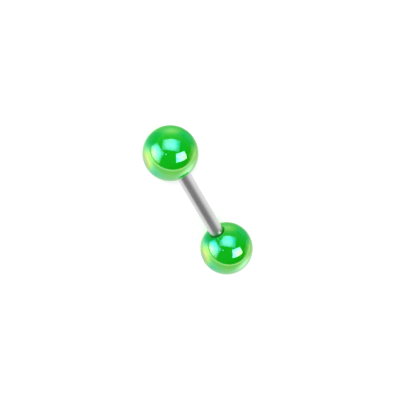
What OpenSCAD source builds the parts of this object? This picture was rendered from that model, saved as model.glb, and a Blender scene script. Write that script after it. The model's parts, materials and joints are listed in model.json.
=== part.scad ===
// Straight tongue barbell: a polished steel bar with a threaded stud at each end, and a glossy ball
// screwed on to each stud. Sizes are in millimetres.
// The barbell lies on its two balls. X runs along the bar towards the top ball, Z = 0 is the surface
// it lies on, and the origin is on that surface, below the middle of the bar.

/* [Bar] */
// Diameter of the bar, 14 gauge
bar_d = 1.6; // [1.4:0.05:2.4]
// Length of the bar from shoulder to shoulder
bar_length = 10; // [5:0.5:22]
// Width of the chamfer round each shoulder
shoulder_chamfer = 0.04; // [0.02:0.01:0.08]

/* [Thread] */
// Outer diameter of the thread on each stud
thread_d = 1.2; // [1:0.05:1.25]
// Distance from one thread crest to the next
thread_pitch = 0.25; // [0.2:0.01:0.35]
// Height of the thread from root to crest
thread_height = 0.15; // [0.08:0.01:0.2]
// Length of each stud past its shoulder
stud_length = 2.5; // [1.8:0.1:3]
// Length of the plain neck between the shoulder and the first thread
neck_length = 0.3; // [0.2:0.05:0.5]
// Length of the pointed lead at the end of the stud
lead_length = 0.2; // [0.1:0.05:0.3]

/* [Balls] */
// Diameter of each ball
ball_d = 6; // [5:0.25:10]
// Depth of the straight wall of the seat that takes the bar's shoulder
seat_depth = 0.08; // [0.05:0.01:0.4]
// Width of the countersink round the mouth of the seat
mouth_chamfer = 0.12; // [0.05:0.01:0.25]
// Length of the drill point at the bottom of the ball's hole
drill_point = 0.3; // [0.1:0.05:0.5]

/* [Fits] */
// Radial clearance between the shoulder and its seat
seat_clearance = 0.05; // [0.02:0.01:0.1]
// Gap between the face of the shoulder and the floor of its seat
face_gap = 0.02; // [0.01:0.01:0.05]
// Radial clearance between the thread's crests and the ball's hole
thread_clearance = 0.03; // [0.02:0.01:0.08]
// Room between the end of the stud and the drill point of the hole
end_room = 0.15; // [0.05:0.05:0.4]

/* [Hidden] */

// Sides of the round shapes
$fn = 96;

bar_r = bar_d / 2;
crest_r = thread_d / 2;
root_r = crest_r - thread_height;
ball_r = ball_d / 2;

// The seat and its mouth, whose rim lies on the ball's surface. Distances are from the ball's centre
seat_r = bar_r + seat_clearance;
mouth_r = seat_r + mouth_chamfer;
mouth_from_centre = sqrt(ball_r * ball_r - mouth_r * mouth_r);
seat_from_centre = mouth_from_centre - mouth_chamfer - seat_depth;

// Centre of each ball along X: the shoulder stops short of its seat by face_gap
ball_x = bar_length / 2 + face_gap + seat_from_centre;

// Thread ridges: a flat crest an eighth of the pitch wide, and flanks that leave the same flat at the root
crest_flat = thread_pitch / 8;
flank_run = thread_pitch / 2 - crest_flat;
ridge_count = floor((stud_length - neck_length - lead_length) / thread_pitch);

// The hole for the stud, from the floor of the seat to its drill point
hole_r = crest_r + thread_clearance;
hole_depth = stud_length - face_gap + end_room;

// What a piece that is joined to or cut from another one runs past it
overrun = 0.2;

// The outline of one thread ridge: distance along the stud, then distance from its axis
function ridge(start) = [
    [start + crest_flat / 2, root_r],
    [start + crest_flat / 2 + flank_run, crest_r],
    [start + crest_flat * 3 / 2 + flank_run, crest_r],
    [start + crest_flat * 3 / 2 + 2 * flank_run, root_r]
];

// Turns an outline of [distance along, distance from the axis] about the X axis
module turn_about_x(outline) {
    rotate([0, 90, 0])
        rotate_extrude()
            polygon([for (p = outline) [p[1], p[0]]]);
}

// The smooth part of the bar, with a chamfer round each shoulder
module shaft() {
    end = bar_length / 2;
    turn_about_x([
        [-end, 0],
        [-end, bar_r - shoulder_chamfer],
        [-end + shoulder_chamfer, bar_r],
        [end - shoulder_chamfer, bar_r],
        [end, bar_r - shoulder_chamfer],
        [end, 0]
    ]);
}

// One stud, from inside the shoulder at X = 0 to its pointed end
module stud() {
    ridges = [for (i = [0 : ridge_count - 1]) each ridge(neck_length + i * thread_pitch)];
    turn_about_x(concat(
        [[-overrun, 0], [-overrun, root_r]],
        ridges,
        [
            [stud_length - lead_length, root_r],
            [stud_length, root_r - lead_length / 2],
            [stud_length, 0]
        ]
    ));
}

// A ball about its own centre, with its mouth towards -X
module ball() {
    difference() {
        rotate([0, 90, 0]) sphere(r = ball_r);
        turn_about_x([
            [-ball_r - overrun, 0],
            [-ball_r - overrun, mouth_r + ball_r + overrun - mouth_from_centre],
            [-mouth_from_centre, mouth_r],
            [-mouth_from_centre + mouth_chamfer, seat_r],
            [-seat_from_centre, seat_r],
            [-seat_from_centre, hole_r],
            [-seat_from_centre + hole_depth, hole_r],
            [-seat_from_centre + hole_depth + drill_point, 0]
        ]);
    }
}

// The steel bar: the shaft and its two studs are one piece
module bar() {
    color([0.78, 0.79, 0.80])
        translate([0, 0, ball_r]) {
            shaft();
            translate([bar_length / 2, 0, 0]) stud();
            mirror([1, 0, 0]) translate([bar_length / 2, 0, 0]) stud();
        }
}

module top_ball() {
    color([0.05, 0.72, 0.15])
        translate([ball_x, 0, ball_r]) ball();
}

module bottom_ball() {
    color([0.05, 0.72, 0.15])
        translate([-ball_x, 0, ball_r]) mirror([1, 0, 0]) ball();
}

bar();
top_ball();
bottom_ball();
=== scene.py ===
"""Looks of the tongue barbell: a polished steel bar with threaded studs, and two glossy green balls.

It lies on a pale floor under soft light, and the balls mirror a studio's windows. Lengths are in metres.
"""

import json
import math

import bpy
from mathutils import Matrix, Vector


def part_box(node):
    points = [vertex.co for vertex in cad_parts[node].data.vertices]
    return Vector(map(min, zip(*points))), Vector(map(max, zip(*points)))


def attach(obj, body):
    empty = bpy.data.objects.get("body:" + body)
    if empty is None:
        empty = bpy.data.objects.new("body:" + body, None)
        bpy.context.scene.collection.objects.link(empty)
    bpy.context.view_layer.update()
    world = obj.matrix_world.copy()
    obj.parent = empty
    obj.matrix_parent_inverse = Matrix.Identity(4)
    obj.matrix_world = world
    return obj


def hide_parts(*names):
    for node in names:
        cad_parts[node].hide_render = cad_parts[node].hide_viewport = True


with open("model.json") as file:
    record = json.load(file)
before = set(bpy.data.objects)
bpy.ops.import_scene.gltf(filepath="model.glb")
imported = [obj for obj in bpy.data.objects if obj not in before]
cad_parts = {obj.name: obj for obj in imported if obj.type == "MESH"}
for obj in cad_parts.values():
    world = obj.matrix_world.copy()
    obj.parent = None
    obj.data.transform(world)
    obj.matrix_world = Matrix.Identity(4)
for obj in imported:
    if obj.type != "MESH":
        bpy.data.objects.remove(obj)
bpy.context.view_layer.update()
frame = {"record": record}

MM = 0.001
MICRON = 0.000001

# Sizes that the frame gives
ball_low, ball_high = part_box("top_ball")
BALL_R = (ball_high.z - ball_low.z) / 2
BALL_X = ball_high.x - BALL_R
AXIS_Z = (ball_high.z + ball_low.z) / 2
BAR_R = frame["record"]["mounts"][0]["dims"]["r_mm"] * MM
STUD_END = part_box("bar")[1].x

# The bar's shoulders and studs. Edges, lips, fillets and corners are the radii that round them
STUD_LENGTH = 2.5 * MM
SHOULDER_X = STUD_END - STUD_LENGTH
SHOULDER_CHAMFER = 0.04 * MM
SHOULDER_EDGE = 0.03 * MM
SHOULDER_LIP = 0.015 * MM
SHAFT_END = SHOULDER_X - 3 * SHOULDER_CHAMFER
STUD_CREST_R = 0.6 * MM
STUD_ROOT_R = 0.45 * MM
NECK_LENGTH = 0.3 * MM
NECK_FILLET = 0.05 * MM
LEAD_LENGTH = 0.2 * MM
LEAD_DROP = 0.1 * MM
TIP_EDGE = 0.03 * MM

# The thread, right-handed on both studs and in both balls
PITCH = 0.25 * MM
RUN_OUT = 0.2 * MM
CREST_FLAT = 1 / 8
STATIONS_PER_PITCH = 16

# The balls' mouths, seats and tapped holes, whose thread stays clear of the studs' crests
SEAT_R = BAR_R + 0.05 * MM
SEAT_FROM_CENTRE = BALL_X - SHOULDER_X - 0.02 * MM
SEAT_CORNER = 0.02 * MM
MOUTH_CHAMFER = 0.12 * MM
MOUTH_R = SEAT_R + MOUTH_CHAMFER
MOUTH_FROM_CENTRE = math.sqrt(BALL_R**2 - MOUTH_R**2)
MOUTH_EDGE = 0.02 * MM
MOUTH_LIP = 0.015 * MM
TAP_CREST_R = STUD_CREST_R + 0.015 * MM
TAP_ROOT_R = STUD_CREST_R + 0.1 * MM
TAP_EDGE = 0.03 * MM
TAP_FROM_SEAT = 0.06 * MM
TAP_FROM_BOTTOM = 0.1 * MM
HOLE_DEPTH = 2.63 * MM
HOLE_CORNER = 0.03 * MM
DRILL_POINT = 0.3 * MM

# How finely the outlines are drawn
SIDES = 128
LONGEST_STEP = 0.1 * MM
CORNER_STEPS = 4
BALL_STEPS = 96
CLOSE = 0.05 * MICRON

# The camera. Its roll puts the top ball at the upper left of the picture
LENS = 111.1
SENSOR = 36
ELEVATION = math.radians(52.5)
ROLL = math.radians(149.5)
DISTANCE = 136 * MM
AIM = Vector((0.150, -0.186, 2.885)) * MM
CLIP_START = 1 * MM
CLIP_END = 10

WHITE = (1, 1, 1, 1)


def camera_axes():
    """Right, up and back of the camera, which looks along the bar from above the top ball."""
    back = Vector((math.cos(ELEVATION), 0, math.sin(ELEVATION)))
    level = Vector((0, 1, 0))
    raised = back.cross(level)
    right = level * math.cos(ROLL) + raised * math.sin(ROLL)
    return right, back.cross(right), back


RIGHT, UP, BACK = camera_axes()


def make_camera():
    """A camera at the photo's viewing angle."""
    camera = bpy.data.objects.new("camera", bpy.data.cameras.new("camera"))
    camera.data.sensor_width = SENSOR
    camera.data.lens = LENS
    camera.data.clip_start = CLIP_START
    camera.data.clip_end = CLIP_END
    turn = Matrix((RIGHT, UP, BACK)).transposed().to_4x4()
    camera.matrix_world = Matrix.Translation(AIM + BACK * DISTANCE) @ turn
    bpy.context.scene.collection.objects.link(camera)
    bpy.context.scene.camera = camera


# Node helpers


def feed(tree, socket, value):
    """Links an output to a socket, or sets the socket's own value."""
    if isinstance(value, bpy.types.NodeSocket):
        tree.links.new(value, socket)
    else:
        socket.default_value = value


def add_node(tree, kind, inputs=None, **settings):
    """A node with its settings, and its inputs fed by name."""
    node = tree.nodes.new(kind)
    for name, value in settings.items():
        setattr(node, name, value)
    for name, value in (inputs or {}).items():
        feed(tree, node.inputs[name], value)
    return node


def maths(tree, operation, *values):
    """One step of arithmetic on outputs and numbers."""
    node = add_node(tree, "ShaderNodeMath", operation=operation)
    for socket, value in zip(node.inputs, values):
        feed(tree, socket, value)
    return node.outputs[0]


def ramp(tree, value, start, end, first=0.0, last=1.0):
    """Goes smoothly from first to last as value goes from start to end."""
    node = add_node(
        tree,
        "ShaderNodeMapRange",
        {"Value": value, "From Min": start, "From Max": end, "To Min": first, "To Max": last},
        interpolation_type="SMOOTHSTEP",
    )
    return node.outputs["Result"]


def dot(tree, first, second):
    """How far one vector reaches along another."""
    node = add_node(tree, "ShaderNodeVectorMath", operation="DOT_PRODUCT")
    feed(tree, node.inputs[0], first)
    feed(tree, node.inputs[1], second)
    return node.outputs["Value"]


def mixed(tree, share, first, second):
    """A colour between two colours."""
    node = add_node(tree, "ShaderNodeMix", data_type="RGBA")
    colour_inputs = [socket for socket in node.inputs if socket.type == "RGBA"]
    feed(tree, node.inputs["Factor"], share)
    feed(tree, colour_inputs[0], first)
    feed(tree, colour_inputs[1], second)
    return next(socket for socket in node.outputs if socket.type == "RGBA")


def noise(tree, vector, scale, detail, roughness=0.5):
    """A soft uneven pattern between zero and one."""
    node = add_node(
        tree,
        "ShaderNodeTexNoise",
        {"Vector": vector, "Scale": scale, "Detail": detail, "Roughness": roughness},
    )
    return node.outputs["Fac"]


def new_tree(name, kind, inputs, outputs):
    """A node tree with named inputs and outputs, given as (name, socket type), and its two end nodes."""
    tree = bpy.data.node_groups.new(name, kind)
    for direction, sockets in (("INPUT", inputs), ("OUTPUT", outputs)):
        for socket_name, socket_type in sockets:
            tree.interface.new_socket(socket_name, in_out=direction, socket_type=socket_type)
    return tree, tree.nodes.new("NodeGroupInput"), tree.nodes.new("NodeGroupOutput")


# Outlines: each point is its place along the bar, its distance from the axis, and for a point on a
# thread the height of its ridge and the two ends of the thread that it stays between


def point(along, out):
    """A point that isn't on a thread."""
    return along, out, 0.0, along, along


def in_short_steps(path):
    """The same path, with no step longer than the longest one allowed."""
    points = [path[0]]
    for start, end in zip(path, path[1:]):
        count = max(1, math.ceil((end - start).length / LONGEST_STEP))
        points += [start.lerp(end, (k + 1) / count) for k in range(count)]
    return points


def rounded(corners):
    """Points through corners of (along, out, radius), each rounded by an arc, on steps that stay short."""
    path = [Vector(corners[0][:2])]
    for before, corner, after in zip(corners, corners[1:], corners[2:]):
        radius = corner[2]
        middle = Vector(corner[:2])
        arriving = (Vector(before[:2]) - middle).normalized()
        leaving = (Vector(after[:2]) - middle).normalized()
        half = arriving.angle(leaving) / 2
        back_off = radius / math.tan(half)
        centre = middle + (arriving + leaving).normalized() * radius / math.sin(half)
        first = middle + arriving * back_off - centre
        last = middle + leaving * back_off - centre
        for step in range(CORNER_STEPS + 1):
            spoke = first.lerp(last, step / CORNER_STEPS).normalized() * radius
            path.append(centre + spoke)
    path.append(Vector(corners[-1][:2]))
    return [point(*p) for p in in_short_steps(path)]


def threaded(start, end, root, height):
    """A thread from start to end: its points move along by one pitch for each turn round the axis."""
    points = []
    flank = 0.5 - CREST_FLAT

    # It begins one pitch early, because a full turn moves each point along by one pitch
    turns = math.ceil((end - start) / PITCH) + 1
    for k in range(turns * STATIONS_PER_PITCH + 1):
        share = (k % STATIONS_PER_PITCH) / STATIONS_PER_PITCH
        from_crest = abs(share - 0.5) - CREST_FLAT / 2
        ridge = height * (1 - min(1, max(0, from_crest / flank)))
        along = start - PITCH + k / STATIONS_PER_PITCH * PITCH
        points.append((along, root, ridge, start, end))
    return points


def mirrored(points):
    """The same outline facing the other way, with its thread still right-handed."""
    turned = []
    for along, out, ridge, low, high in reversed(points):
        lead = PITCH if high > low else 0
        turned.append((-along - lead, out, ridge, -high, -low))
    return turned


def moved(points, shift):
    """The same outline further along the bar."""
    return [
        (along + shift, out, ridge, low + shift, high + shift)
        for along, out, ridge, low, high in points
    ]


def stud_outline():
    """From the shaft's end, over the shoulder, to the tip of the stud."""
    thread_start = SHOULDER_X + NECK_LENGTH
    thread_end = STUD_END - LEAD_LENGTH
    shoulder = rounded([
        (SHAFT_END, BAR_R, 0),
        (SHOULDER_X - SHOULDER_CHAMFER, BAR_R, SHOULDER_EDGE),
        (SHOULDER_X, BAR_R - SHOULDER_CHAMFER, SHOULDER_LIP),
        (SHOULDER_X, STUD_ROOT_R, NECK_FILLET),
        (thread_start, STUD_ROOT_R, 0),
    ])
    tip = rounded([
        (thread_end, STUD_ROOT_R, 0),
        (STUD_END, STUD_ROOT_R - LEAD_DROP, TIP_EDGE),
        (STUD_END, 0, 0),
    ])
    thread = threaded(thread_start, thread_end, STUD_ROOT_R, STUD_CREST_R - STUD_ROOT_R)
    return shoulder[:-1] + thread + tip[1:]


def bar_outline():
    """The whole bar, from the tip of one stud to the tip of the other."""
    shaft = in_short_steps([Vector((SHAFT_END, BAR_R)), Vector((-SHAFT_END, BAR_R))])
    right_end = stud_outline()
    left_end = mirrored(right_end)
    return right_end[::-1] + [point(*p) for p in shaft[1:-1]] + left_end[::-1]


def ball_outline():
    """A ball about its own centre: its outside from the pole, then its mouth, seat and drilled hole."""
    rim_angle = math.pi - math.asin(MOUTH_R / BALL_R)
    outside = []
    for step in range(BALL_STEPS):
        angle = rim_angle * step / BALL_STEPS
        outside.append(point(BALL_R * math.cos(angle), BALL_R * math.sin(angle)))
    seat_x = -SEAT_FROM_CENTRE
    hole_end = seat_x + HOLE_DEPTH
    tap_start = seat_x + TAP_FROM_SEAT
    tap_end = hole_end - TAP_FROM_BOTTOM
    last_along, last_out = outside[-1][:2]
    seat = rounded([
        (last_along, last_out, 0),
        (-MOUTH_FROM_CENTRE, MOUTH_R, MOUTH_EDGE),
        (-MOUTH_FROM_CENTRE + MOUTH_CHAMFER, SEAT_R, MOUTH_LIP),
        (seat_x, SEAT_R, SEAT_CORNER),
        (seat_x, TAP_ROOT_R, TAP_EDGE),
        (tap_start, TAP_ROOT_R, 0),
    ])
    bottom = rounded([
        (tap_end, TAP_ROOT_R, 0),
        (hole_end, TAP_ROOT_R, HOLE_CORNER),
        (hole_end + DRILL_POINT, 0, 0),
    ])
    thread = threaded(tap_start, tap_end, TAP_ROOT_R, TAP_CREST_R - TAP_ROOT_R)
    return outside + seat[1:-1] + thread + bottom[1:]


# Turned pieces


def turned_piece_tree():
    """Turns an outline about the bar's axis, and winds its thread as it goes round."""
    inputs = [
        ("Outline", "NodeSocketGeometry"),
        ("Sides", "NodeSocketInt"),
        ("Thread Pitch", "NodeSocketFloat"),
        ("Thread Run-Out", "NodeSocketFloat"),
        ("Axis Height", "NodeSocketFloat"),
        ("Merge Distance", "NodeSocketFloat"),
        ("Material", "NodeSocketMaterial"),
    ]
    outputs = [("Piece", "NodeSocketGeometry")]
    tree, given, result = new_tree("Turned Piece", "GeometryNodeTree", inputs, outputs)
    outline = given.outputs["Outline"]
    sides = given.outputs["Sides"]
    run_out = given.outputs["Thread Run-Out"]

    # One row of the grid for each point of the outline, one column for each side and one to close it
    columns = maths(tree, "ADD", sides, 1)
    size = add_node(tree, "GeometryNodeAttributeDomainSize", {"Geometry": outline})
    grid = add_node(
        tree,
        "GeometryNodeMeshGrid",
        {"Vertices X": size.outputs["Point Count"], "Vertices Y": columns},
    )
    index = tree.nodes.new("GeometryNodeInputIndex").outputs[0]
    row = maths(tree, "FLOOR", maths(tree, "DIVIDE", maths(tree, "ADD", index, 0.5), columns))
    column = maths(tree, "SUBTRACT", index, maths(tree, "MULTIPLY", row, columns))
    turn = maths(tree, "DIVIDE", column, sides)

    def sampled(value):
        """The three parts of a value at this row's point of the outline."""
        node = add_node(tree, "GeometryNodeSampleIndex", data_type="FLOAT_VECTOR")
        feed(tree, node.inputs["Geometry"], outline)
        feed(tree, node.inputs["Value"], value)
        feed(tree, node.inputs["Index"], row)
        return add_node(tree, "ShaderNodeSeparateXYZ", {"Vector": node.outputs[0]}).outputs

    place_along, place_out, _ = sampled(tree.nodes.new("GeometryNodeInputPosition").outputs[0])
    thread = add_node(
        tree,
        "GeometryNodeInputNamedAttribute",
        {"Name": "thread"},
        data_type="FLOAT_VECTOR",
    )
    ridge, low, high = sampled(thread.outputs[0])

    # A thread's point moves along by one pitch in a turn and stays between the thread's ends
    wound = maths(tree, "MULTIPLY_ADD", turn, given.outputs["Thread Pitch"], place_along)
    along = maths(tree, "MINIMUM", maths(tree, "MAXIMUM", wound, low), high)
    rising = ramp(tree, along, low, maths(tree, "ADD", low, run_out))
    falling = ramp(tree, along, maths(tree, "SUBTRACT", high, run_out), high, 1.0, 0.0)
    raised = maths(tree, "MULTIPLY", ridge, maths(tree, "MULTIPLY", rising, falling))
    out = maths(tree, "ADD", place_out, raised)

    angle = maths(tree, "MULTIPLY", turn, math.tau)
    sideways = maths(tree, "MULTIPLY", out, maths(tree, "COSINE", angle))
    upwards = maths(tree, "MULTIPLY", out, maths(tree, "SINE", angle))
    height = maths(tree, "ADD", upwards, given.outputs["Axis Height"])
    position = add_node(tree, "ShaderNodeCombineXYZ", {"X": along, "Y": sideways, "Z": height})
    shaped = add_node(
        tree,
        "GeometryNodeSetPosition",
        {"Geometry": grid.outputs["Mesh"], "Position": position.outputs[0]},
    )
    closed = add_node(
        tree,
        "GeometryNodeMergeByDistance",
        {"Geometry": shaped.outputs[0], "Distance": given.outputs["Merge Distance"]},
    )
    smooth = add_node(tree, "GeometryNodeSetShadeSmooth", {"Geometry": closed.outputs[0]})
    real = add_node(tree, "GeometryNodeRealizeInstances", {"Geometry": smooth.outputs[0]})
    finished = add_node(
        tree,
        "GeometryNodeSetMaterial",
        {"Geometry": real.outputs[0], "Material": given.outputs["Material"]},
    )
    tree.links.new(finished.outputs[0], result.inputs["Piece"])
    return tree


def turned_piece(name, points, tree, material):
    """An outline turned into a plain mesh."""
    places = [(along, out, 0) for along, out, *_ in points]
    edges = [(k, k + 1) for k in range(len(points) - 1)]
    mesh = bpy.data.meshes.new(name)
    mesh.from_pydata(places, edges, [])
    thread = mesh.attributes.new("thread", "FLOAT_VECTOR", "POINT")
    thread.data.foreach_set("vector", [value for p in points for value in p[2:]])
    piece = bpy.data.objects.new(name, mesh)
    bpy.context.scene.collection.objects.link(piece)

    modifier = piece.modifiers.new("turned", "NODES")
    modifier.node_group = tree
    settings = {
        "Sides": SIDES,
        "Thread Pitch": PITCH,
        "Thread Run-Out": RUN_OUT,
        "Axis Height": AXIS_Z,
        "Merge Distance": CLOSE,
        "Material": material,
    }
    for item in tree.interface.items_tree:
        if item.name in settings:
            modifier[item.identifier] = settings[item.name]

    evaluated = piece.evaluated_get(bpy.context.evaluated_depsgraph_get())
    piece.data = bpy.data.meshes.new_from_object(evaluated)
    piece.data.name = name
    piece.modifiers.clear()
    return piece


# Finishes that both materials use


def scratch_group():
    """Fine hairlines that run the long way of a stretched pattern."""
    group, given, result = new_tree(
        "Fine Scratches",
        "ShaderNodeTree",
        [("Vector", "NodeSocketVector"), ("Fineness", "NodeSocketFloat"), ("Share", "NodeSocketFloat")],
        [("Mask", "NodeSocketFloat")],
    )
    lines = noise(group, given.outputs["Vector"], given.outputs["Fineness"], detail=3.0, roughness=0.6)

    # A larger share lets more of the pattern's peaks show
    start = maths(group, "SUBTRACT", 0.75, maths(group, "MULTIPLY", given.outputs["Share"], 0.3))
    mask = ramp(group, lines, start, maths(group, "ADD", start, 0.06))
    feed(group, result.inputs["Mask"], mask)
    return group


def dust_group():
    """Small round specks, scattered and of several sizes."""
    group, given, result = new_tree(
        "Fine Dust",
        "ShaderNodeTree",
        [("Vector", "NodeSocketVector"), ("Fineness", "NodeSocketFloat"), ("Size", "NodeSocketFloat")],
        [("Mask", "NodeSocketFloat")],
    )
    specks = add_node(
        group,
        "ShaderNodeTexVoronoi",
        {"Vector": given.outputs["Vector"], "Scale": given.outputs["Fineness"]},
    )
    chosen = add_node(group, "ShaderNodeSeparateColor", {"Color": specks.outputs["Color"]})
    size = maths(group, "POWER", chosen.outputs["Red"], 3.0)
    reach = maths(group, "MULTIPLY", given.outputs["Size"], size)
    mask = ramp(group, specks.outputs["Distance"], 0.0, reach, 1.0, 0.0)
    feed(group, result.inputs["Mask"], mask)
    return group


def finish_mask(tree, group, inputs):
    """Where a shared finish shows on this material."""
    return add_node(tree, "ShaderNodeGroup", inputs, node_tree=group).outputs["Mask"]


# Materials


def new_material(name):
    """A material with its node tree and its shader."""
    material = bpy.data.materials.new(name)
    material.use_nodes = True
    tree = material.node_tree
    return material, tree, tree.nodes["Principled BSDF"]


def place_in_piece(tree, centre, stretch=(1, 1, 1)):
    """Object coordinates in millimetres about a centre, stretched where a pattern runs one way."""
    coordinates = tree.nodes.new("ShaderNodeTexCoord")
    scale = Vector(stretch) / MM
    mapping = add_node(
        tree,
        "ShaderNodeMapping",
        {
            "Vector": coordinates.outputs["Object"],
            "Scale": scale,
            "Location": [-c * s for c, s in zip(centre, scale)],
        },
    )
    return mapping.outputs["Vector"]


def set_relief(tree, shader, relief, strength, depth):
    """Fine relief that only the light shows."""
    bump = add_node(
        tree,
        "ShaderNodeBump",
        {"Height": relief, "Strength": strength, "Distance": depth},
    )
    feed(tree, shader.inputs["Normal"], bump.outputs["Normal"])


# Green acrylic: its colours, a painted pearly sheen of mint and lime, and how much each finish tints or
# roughens it
DEEP_GREEN = (0.002, 0.55, 0.003, 1)
BRIGHT_GREEN = (0.004, 0.59, 0.005, 1)
# Painted sheen: mint and lime tints that stand in the colour for the pearly coat's reflection
MINT_PAINTED_SHEEN = (0.08, 0.55, 0.30, 1)
LIME_PAINTED_SHEEN = (0.30, 0.60, 0.10, 1)
DUST_ON_GREEN = (0.5, 0.62, 0.5, 1)
# Share of the painted sheen in the colour
PAINTED_SHEEN_SHARE = 0.06
ACRYLIC_DUST_TINT = 0.35
ACRYLIC_DUST_ROUGHNESS = 0.3
ACRYLIC_LINE_ROUGHNESS = 0.08
ACRYLIC_LINE_DEPTH = 0.4
ACRYLIC_IOR = 1.49

# The pearly coat, in nanometres: its thickness face on and towards the rim, how much it wavers, and
# its most anywhere
COAT_FACE_ON = 170
COAT_AT_RIM = 206
COAT_WAVER = 20.0
COAT_THICKEST = 279

# Where the coat begins and is full, in shares of a ball's radius. The seat and the hole stay bare
COAT_BEGINS = 0.985
COAT_FULL = 0.995

# Patches of the coat: where each is on a ball's face, in shares of its radius right and up in the
# picture, the nanometres that it adds, and how narrow it is
COAT_PATCHES = [
    (-0.93, -0.27, 80, 20),
    (-0.84, -0.36, 50, 36),
    (-0.64, -0.71, -34, 15),
    (-0.67, 0.48, -45, 18),
    (-0.42, 0.52, -18, 21),
    (0.54, 0.58, -50, 11),
    (0.26, 0.77, 25, 30),
    (0.96, 0.08, 22, 12),
    (0.38, -0.13, 13, 90),
    (0.0, 0.32, 4, 30),
]

# The coat's tints are paler round one place at the left rim, where its refraction is weaker
COAT_IOR = 2.1
PALER_COAT_IOR = 1.85
PALER_PLACE = (-0.87, -0.27)
PALER_NARROWNESS = 9.0


def on_ball(right, up):
    """The outward direction at a point of a ball's face, in shares of its radius right and up."""
    return RIGHT * right + UP * up + BACK * math.sqrt(1 - right**2 - up**2)


def patch_on_ball(tree, place, right, up, narrowness):
    """A soft round patch on a ball's face, one at its middle and fading outwards."""
    near = maths(tree, "DIVIDE", dot(tree, place, on_ball(right, up)), BALL_R / MM)
    return maths(tree, "POWER", maths(tree, "MAXIMUM", near, 0.0), narrowness)


def pearly_coat(tree, shader, place, ripples):
    """A thin film on a ball's outside, whose tint turns with the angle and a little with place."""
    facing = add_node(tree, "ShaderNodeLayerWeight", {"Blend": 0.5}).outputs["Facing"]
    thickness = ramp(tree, facing, 0.0, 0.3, COAT_FACE_ON, COAT_AT_RIM)
    for right, up, change, narrowness in COAT_PATCHES:
        patch = patch_on_ball(tree, place, right, up, narrowness)
        thickness = maths(tree, "MULTIPLY_ADD", patch, change, thickness)
    uneven = maths(tree, "SUBTRACT", ripples, 0.5)
    wavering = maths(tree, "MULTIPLY_ADD", uneven, COAT_WAVER, thickness)
    limited = maths(tree, "MINIMUM", wavering, COAT_THICKEST)

    paler = patch_on_ball(tree, place, *PALER_PLACE, PALER_NARROWNESS)
    ior = maths(tree, "MULTIPLY_ADD", paler, PALER_COAT_IOR - COAT_IOR, COAT_IOR)
    feed(tree, shader.inputs["Thin Film IOR"], ior)

    # Where the refraction is weaker, a thicker film keeps the same tint
    fitted = maths(tree, "DIVIDE", maths(tree, "MULTIPLY", limited, COAT_IOR), ior)
    length = add_node(tree, "ShaderNodeVectorMath", {"Vector": place}, operation="LENGTH")
    outside = ramp(tree, length.outputs["Value"], COAT_BEGINS * BALL_R / MM, COAT_FULL * BALL_R / MM)
    feed(tree, shader.inputs["Thin Film Thickness"], maths(tree, "MULTIPLY", fitted, outside))


def green_acrylic(name, centre, scratches, dust):
    """Bright green acrylic, faintly cloudy, with hairlines and specks and a faint painted sheen of mint and
    lime in its colour, under a thin pearly coat.
    """
    material, tree, shader = new_material(name)
    place = place_in_piece(tree, centre)
    along_lines = place_in_piece(tree, centre, stretch=(0.4, 3.0, 1.2))
    clouds = noise(tree, place, scale=0.35, detail=2.0)
    ripples = noise(tree, place, scale=1.6, detail=3.0)
    lines = finish_mask(tree, scratches, {"Vector": along_lines, "Fineness": 3.0, "Share": 0.2})
    specks = finish_mask(tree, dust, {"Vector": place, "Fineness": 2.2, "Size": 0.06})

    body = mixed(tree, ramp(tree, clouds, 0.3, 0.7), DEEP_GREEN, BRIGHT_GREEN)
    # Painted sheen: faint mint and lime patches in the colour, standing for the coat's pearly reflection
    painted_sheen = mixed(tree, ramp(tree, ripples, 0.35, 0.7), MINT_PAINTED_SHEEN, LIME_PAINTED_SHEEN)
    cloudy = maths(tree, "MULTIPLY", ramp(tree, clouds, 0.45, 0.75), PAINTED_SHEEN_SHARE)
    coloured = mixed(tree, cloudy, body, painted_sheen)
    dusty = maths(tree, "MULTIPLY", specks, ACRYLIC_DUST_TINT)
    feed(tree, shader.inputs["Base Color"], mixed(tree, dusty, coloured, DUST_ON_GREEN))

    worn = maths(tree, "MULTIPLY", lines, ACRYLIC_LINE_ROUGHNESS)
    rough = maths(tree, "MULTIPLY_ADD", specks, ACRYLIC_DUST_ROUGHNESS, worn)
    feed(tree, shader.inputs["Roughness"], rough)
    shader.inputs["IOR"].default_value = ACRYLIC_IOR
    pearly_coat(tree, shader, place, ripples)

    relief = maths(tree, "SUBTRACT", specks, maths(tree, "MULTIPLY", lines, ACRYLIC_LINE_DEPTH))
    set_relief(tree, shader, relief, strength=0.3, depth=2 * MICRON)
    return material


# Steel: its colours, the painted shade in its thread roots, and how much each finish tints or roughens it
GREY_STEEL = (0.56, 0.555, 0.56, 1)
PALE_STEEL = (0.66, 0.66, 0.67, 1)
BRIGHT_LINE = (0.78, 0.78, 0.79, 1)
# Painted shade: the darker colour of the thread roots
ROOT_PAINTED_SHADE = (0.16, 0.15, 0.14, 1)
DUST_ON_STEEL = (0.45, 0.44, 0.42, 1)
STEEL_LINE_TINT = 0.25
# Share of the painted shade in the thread roots
ROOT_SHADE_SHARE = 0.55
STEEL_DUST_TINT = 0.3
STEEL_ROUGHNESS = 0.2
TURNED_ROUGHNESS = 0.1
STEEL_LINE_ROUGHNESS = 0.08
ROOT_ROUGHNESS = 0.2
STEEL_LINE_DEPTH = 0.5


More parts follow.
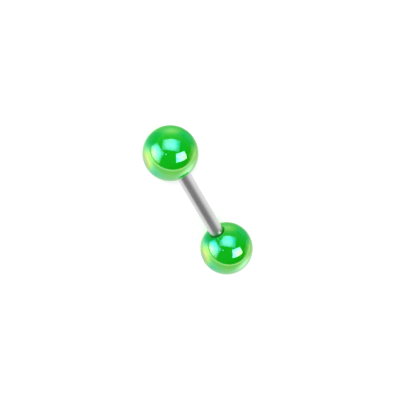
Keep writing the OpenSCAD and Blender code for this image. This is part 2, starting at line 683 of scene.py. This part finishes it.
def polished_steel(scratches, dust):
    """Polished steel with fine lines round and along the bar, duller in the roots of its threads, where
    painted shade also darkens its colour.
    """
    material, tree, shader = new_material("polished_steel")
    axis = (0, 0, AXIS_Z)
    place = place_in_piece(tree, axis)
    parts = add_node(tree, "ShaderNodeSeparateXYZ", {"Vector": place}).outputs
    sideways = maths(tree, "POWER", parts["Y"], 2.0)
    upwards = maths(tree, "POWER", parts["Z"], 2.0)
    out = maths(tree, "SQRT", maths(tree, "ADD", sideways, upwards))
    root = ramp(tree, out, (STUD_ROOT_R + 0.01 * MM) / MM, STUD_CREST_R / MM, 1.0, 0.0)

    along_lines = place_in_piece(tree, axis, stretch=(0.5, 6, 6))
    round_bar = place_in_piece(tree, axis, stretch=(60, 1.5, 1.5))
    turned = noise(tree, round_bar, scale=1.0, detail=4.0, roughness=0.7)
    patches = noise(tree, place, scale=0.8, detail=3.0)
    lines = finish_mask(tree, scratches, {"Vector": along_lines, "Fineness": 3.0, "Share": 0.35})
    specks = finish_mask(tree, dust, {"Vector": place, "Fineness": 4.0, "Size": 0.08})

    steel = mixed(tree, patches, GREY_STEEL, PALE_STEEL)
    lined = mixed(tree, maths(tree, "MULTIPLY", lines, STEEL_LINE_TINT), steel, BRIGHT_LINE)
    # Painted shade: the thread roots are darkened in colour
    darkened = mixed(tree, maths(tree, "MULTIPLY", root, ROOT_SHADE_SHARE), lined, ROOT_PAINTED_SHADE)
    dusty = maths(tree, "MULTIPLY", specks, STEEL_DUST_TINT)
    feed(tree, shader.inputs["Base Color"], mixed(tree, dusty, darkened, DUST_ON_STEEL))
    shader.inputs["Metallic"].default_value = 1.0

    fine = maths(tree, "MULTIPLY_ADD", turned, TURNED_ROUGHNESS, STEEL_ROUGHNESS)
    worn = maths(tree, "MULTIPLY_ADD", lines, STEEL_LINE_ROUGHNESS, fine)
    rough = maths(tree, "MULTIPLY_ADD", root, ROOT_ROUGHNESS, worn)
    feed(tree, shader.inputs["Roughness"], rough)

    relief = maths(tree, "SUBTRACT", turned, maths(tree, "MULTIPLY", lines, STEEL_LINE_DEPTH))
    set_relief(tree, shader, relief, strength=0.4, depth=1.5 * MICRON)
    return material


# Studio

# Corners of each soft window as they show on a ball, in shares of its radius right and up from its middle
TOP_WINDOW = [(-0.265, 0.46), (0.365, 0.42), (0.31, 0.01), (-0.28, 0.09)]
LEFT_WINDOW = [(-0.665, 0.27), (-0.425, 0.385), (-0.17, -0.015), (-0.38, -0.42), (-0.63, -0.15)]
RIGHT_WINDOW = [(0.195, -0.035), (0.50, 0.075), (0.605, -0.18), (0.20, -0.365)]
SIDE_PANEL = [(0.72, 0.34), (0.88, 0.30), (0.90, -0.10), (0.70, -0.25), (0.63, -0.07)]

# The windows with their brightness at the middle and at the edge, and how soft their edges are
WINDOWS = [
    (TOP_WINDOW, 3.6, 1.2, 0.09),
    (LEFT_WINDOW, 4.4, 1.4, 0.13),
    (RIGHT_WINDOW, 5.6, 3.2, 0.05),
    (SIDE_PANEL, 0.25, 0.25, 0.06),
]

# Soft glows: where each shows on a ball, its brightness and how narrow it is
GLOWS = [
    (-0.78, -0.17, 2.3, 10),
    (0.65, -0.585, 1.6, 19),
    (0.01, 0.785, 0.75, 16),
    (0.87, -0.09, 0.1, 60),
    (0.60, 0.585, 0.25, 60),
]

# A small lamp that shows as a spark beside the left window
SPARK = (-0.145, -0.06)
SPARK_BRIGHTNESS = 4.0

# Edge of the white table: how it leans towards the top and the right of the picture, how much more it
# leans above its middle, how low it lies, and how its blur grows towards the right and the top
TABLE_LEAN_UP = 0.5
TABLE_LEAN_RIGHT = 0.2
TABLE_BEND = 0.55
TABLE_DROP = 0.178
TABLE_LEAST_BLUR = 0.03
TABLE_RIGHT_BLUR = 0.3
TABLE_TOP_BLUR = 2.0

# Brightness of the table at its edge and further in, and of the bright lip along its edge
TABLE_AT_EDGE = 0.68
TABLE_FURTHER_IN = 1.03
TABLE_LIP = 0.75

# Brightness of the dark walls, low and high
WALLS_LOW = 0.015
WALLS_HIGH = 0.07

# Brightness of what the steel mirrors to the left of the bar, and to the right above and beside it
STEEL_LEFT = 0.82
STEEL_RIGHT_ABOVE = 0.3
STEEL_RIGHT_BESIDE = 1.12

# The pale dome: the side that it is brighter on, and its least and most brightness
DOME_SIDE = (RIGHT - UP * 0.3).normalized()
DOME_LEAST = 0.4
DOME_MOST = 0.75

# The key light: the side that it stands on, how far off and how wide it is, and its power
KEY_SIDE = Vector((0.69, 0.0, 0.72)).normalized()
KEY_DISTANCE = 300 * MM
KEY_SIZE = 70 * MM
KEY_POWER = 0.41

# The floor: half its width, its colour and dullness, and a glow that makes it as pale as the backdrop
FLOOR_HALF = 0.5
FLOOR_COLOUR = (0.9, 0.9, 0.9, 1)
FLOOR_ROUGHNESS = 0.9
FLOOR_GLOW = 0.38


def seen_in_ball(right, up):
    """The direction that a ball mirrors to the camera at a point of its face."""
    facing = math.sqrt(1 - right**2 - up**2)
    return RIGHT * 2 * facing * right + UP * 2 * facing * up + BACK * (2 * facing**2 - 1)


def window_light(tree, direction, corners, middle, edge, softness):
    """Light of a soft window with these corners, brighter at its middle than at its edge."""
    seen = [seen_in_ball(*corner) for corner in corners]
    inside = None
    for start, end in zip(seen, seen[1:] + seen[:1]):
        within = dot(tree, direction, end.cross(start).normalized())
        inside = within if inside is None else maths(tree, "MINIMUM", inside, within)
    centre = sum(seen, Vector()).normalized()
    light = ramp(tree, dot(tree, direction, centre), 0.85, 1.0, edge, middle)
    clouds = noise(tree, direction, scale=9.0, detail=2.0)
    cloudy = maths(tree, "MULTIPLY", light, ramp(tree, clouds, 0.35, 0.65, 0.75, 1.1))
    return maths(tree, "MULTIPLY", ramp(tree, inside, 0.0, softness), cloudy)


def table_light(tree, direction):
    """Light of the white table, whose edge is sharp at the bottom of a ball and soft at its top and right."""
    height = maths(tree, "MAXIMUM", dot(tree, direction, UP), 0.0)
    bend = maths(tree, "MULTIPLY_ADD", height, TABLE_BEND, TABLE_DROP)
    leaning = -BACK - UP * TABLE_LEAN_UP - RIGHT * TABLE_LEAN_RIGHT
    below = maths(tree, "SUBTRACT", dot(tree, direction, leaning), bend)

    right = dot(tree, direction, RIGHT)
    least = ramp(tree, right, 0.75, 1.0, TABLE_LEAST_BLUR, TABLE_RIGHT_BLUR)
    blur = maths(tree, "MULTIPLY_ADD", height, TABLE_TOP_BLUR, least)
    table = ramp(tree, below, maths(tree, "MULTIPLY", blur, -1.0), blur)

    near_edge = ramp(tree, below, 0.1, 0.2, TABLE_LIP, 0.0)
    lip = maths(tree, "MULTIPLY", near_edge, ramp(tree, height, 0.0, 0.3, 1.0, 0.0))
    spread = ramp(tree, below, 0.1, 0.78, TABLE_AT_EDGE, TABLE_FURTHER_IN)
    return maths(tree, "MULTIPLY", table, maths(tree, "ADD", lip, spread))


def room_for_balls(tree, direction):
    """What a ball mirrors: a dark room with soft windows and glows over a white table."""
    walls = ramp(tree, dot(tree, direction, UP), -0.2, 0.8, WALLS_LOW, WALLS_HIGH)
    light = maths(tree, "ADD", table_light(tree, direction), walls)
    for right, up, brightness, narrowness in GLOWS:
        near = maths(tree, "MAXIMUM", dot(tree, direction, seen_in_ball(right, up)), 0.0)
        glow = maths(tree, "POWER", near, narrowness)
        light = maths(tree, "MULTIPLY_ADD", glow, brightness, light)
    for corners, middle, edge, softness in WINDOWS:
        window = window_light(tree, direction, corners, middle, edge, softness)
        light = maths(tree, "ADD", light, window)
    near_spark = dot(tree, direction, seen_in_ball(*SPARK))
    spark = ramp(tree, near_spark, 0.9985, 0.9998, 0.0, SPARK_BRIGHTNESS)
    return maths(tree, "ADD", light, spark)


def room_for_steel(tree, direction):
    """What the satin steel mirrors: a room bright on both sides of the bar and dim above it."""
    parts = add_node(tree, "ShaderNodeSeparateXYZ", {"Vector": direction}).outputs

    # The angle about the bar from straight above, in radians, towards the right of the picture
    around_bar = maths(tree, "ARCTAN2", maths(tree, "MULTIPLY", parts["Y"], -1.0), parts["Z"])
    left = ramp(tree, around_bar, -1.55, -0.75, STEEL_LEFT, 0.0)
    right = ramp(tree, around_bar, 0.05, 1.45, STEEL_RIGHT_ABOVE, STEEL_RIGHT_BESIDE)
    return maths(tree, "ADD", left, right)


def make_world():
    """Lights all pieces by a pale dome, and gives the balls and the steel each a room to mirror."""
    world = bpy.data.worlds.new("studio")
    world.use_nodes = True
    world.cycles.sampling_method = "NONE"
    bpy.context.scene.world = world
    tree = world.node_tree
    direction = tree.nodes.new("ShaderNodeTexCoord").outputs["Generated"]
    path = tree.nodes.new("ShaderNodeLightPath")

    def chosen(condition, otherwise, when_true):
        """One value for rays of this kind, and another for the rest."""
        node = add_node(tree, "ShaderNodeMix", {"Factor": path.outputs[condition]})
        feed(tree, node.inputs[2], otherwise)
        feed(tree, node.inputs[3], when_true)
        return node.outputs[0]

    dome = ramp(tree, dot(tree, direction, DOME_SIDE), -1.0, 1.0, DOME_LEAST, DOME_MOST)
    rooms = chosen("Is Singular Ray", room_for_steel(tree, direction), room_for_balls(tree, direction))
    shown = chosen("Is Camera Ray", chosen("Is Glossy Ray", dome, rooms), 1.0)
    background = tree.nodes["Background"]
    tree.links.new(shown, background.inputs["Strength"])
    background.inputs["Color"].default_value = WHITE


def make_key_light():
    """A soft light close to the camera's side, so that the balls' shadows on the floor stay faint."""
    lamp = bpy.data.lights.new("key", "AREA")
    lamp.shape = "DISK"
    lamp.size = KEY_SIZE
    lamp.energy = KEY_POWER
    key = bpy.data.objects.new("key", lamp)
    key.location = KEY_SIDE * KEY_DISTANCE
    key.rotation_mode = "QUATERNION"
    key.rotation_quaternion = KEY_SIDE.to_track_quat("Z", "Y")
    key.visible_glossy = False
    bpy.context.scene.collection.objects.link(key)


def make_floor():
    """A pale floor that the pieces don't mirror, because the room's white table stands for it."""
    mesh = bpy.data.meshes.new("floor")
    corners = [(x * FLOOR_HALF, y * FLOOR_HALF, 0) for x, y in ((-1, -1), (1, -1), (1, 1), (-1, 1))]
    mesh.from_pydata(corners, [], [(0, 1, 2, 3)])
    floor = bpy.data.objects.new("floor", mesh)
    material, _, shader = new_material("pale_floor")
    shader.inputs["Base Color"].default_value = FLOOR_COLOUR
    shader.inputs["Roughness"].default_value = FLOOR_ROUGHNESS
    shader.inputs["Specular IOR Level"].default_value = 0.0
    shader.inputs["Emission Color"].default_value = WHITE
    shader.inputs["Emission Strength"].default_value = FLOOR_GLOW
    mesh.materials.append(material)
    floor.visible_glossy = False
    bpy.context.scene.collection.objects.link(floor)


# The barbell


def make_bar(tree, scratches, dust):
    """The steel bar with its two studs."""
    steel = polished_steel(scratches, dust)
    bar = turned_piece("polished_bar", bar_outline(), tree, steel)
    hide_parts("bar")
    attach(bar, "bar")


def make_balls(tree, scratches, dust):
    """The two green balls. The bottom one is the top one's mirror image, but its thread isn't."""
    outline = ball_outline()
    for node, side, points in (
        ("top_ball", 1, outline),
        ("bottom_ball", -1, mirrored(outline)),
    ):
        centre = (side * BALL_X, 0, AXIS_Z)
        acrylic = green_acrylic(f"{node}_acrylic", centre, scratches, dust)
        ball = turned_piece(f"green_{node}", moved(points, side * BALL_X), tree, acrylic)
        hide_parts(node)
        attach(ball, node)


def make_barbell():
    tree = turned_piece_tree()
    scratches = scratch_group()
    dust = dust_group()
    make_bar(tree, scratches, dust)
    make_balls(tree, scratches, dust)


make_camera()
make_world()
make_key_light()
make_floor()
make_barbell()
bpy.context.scene.view_settings.view_transform = "Standard"
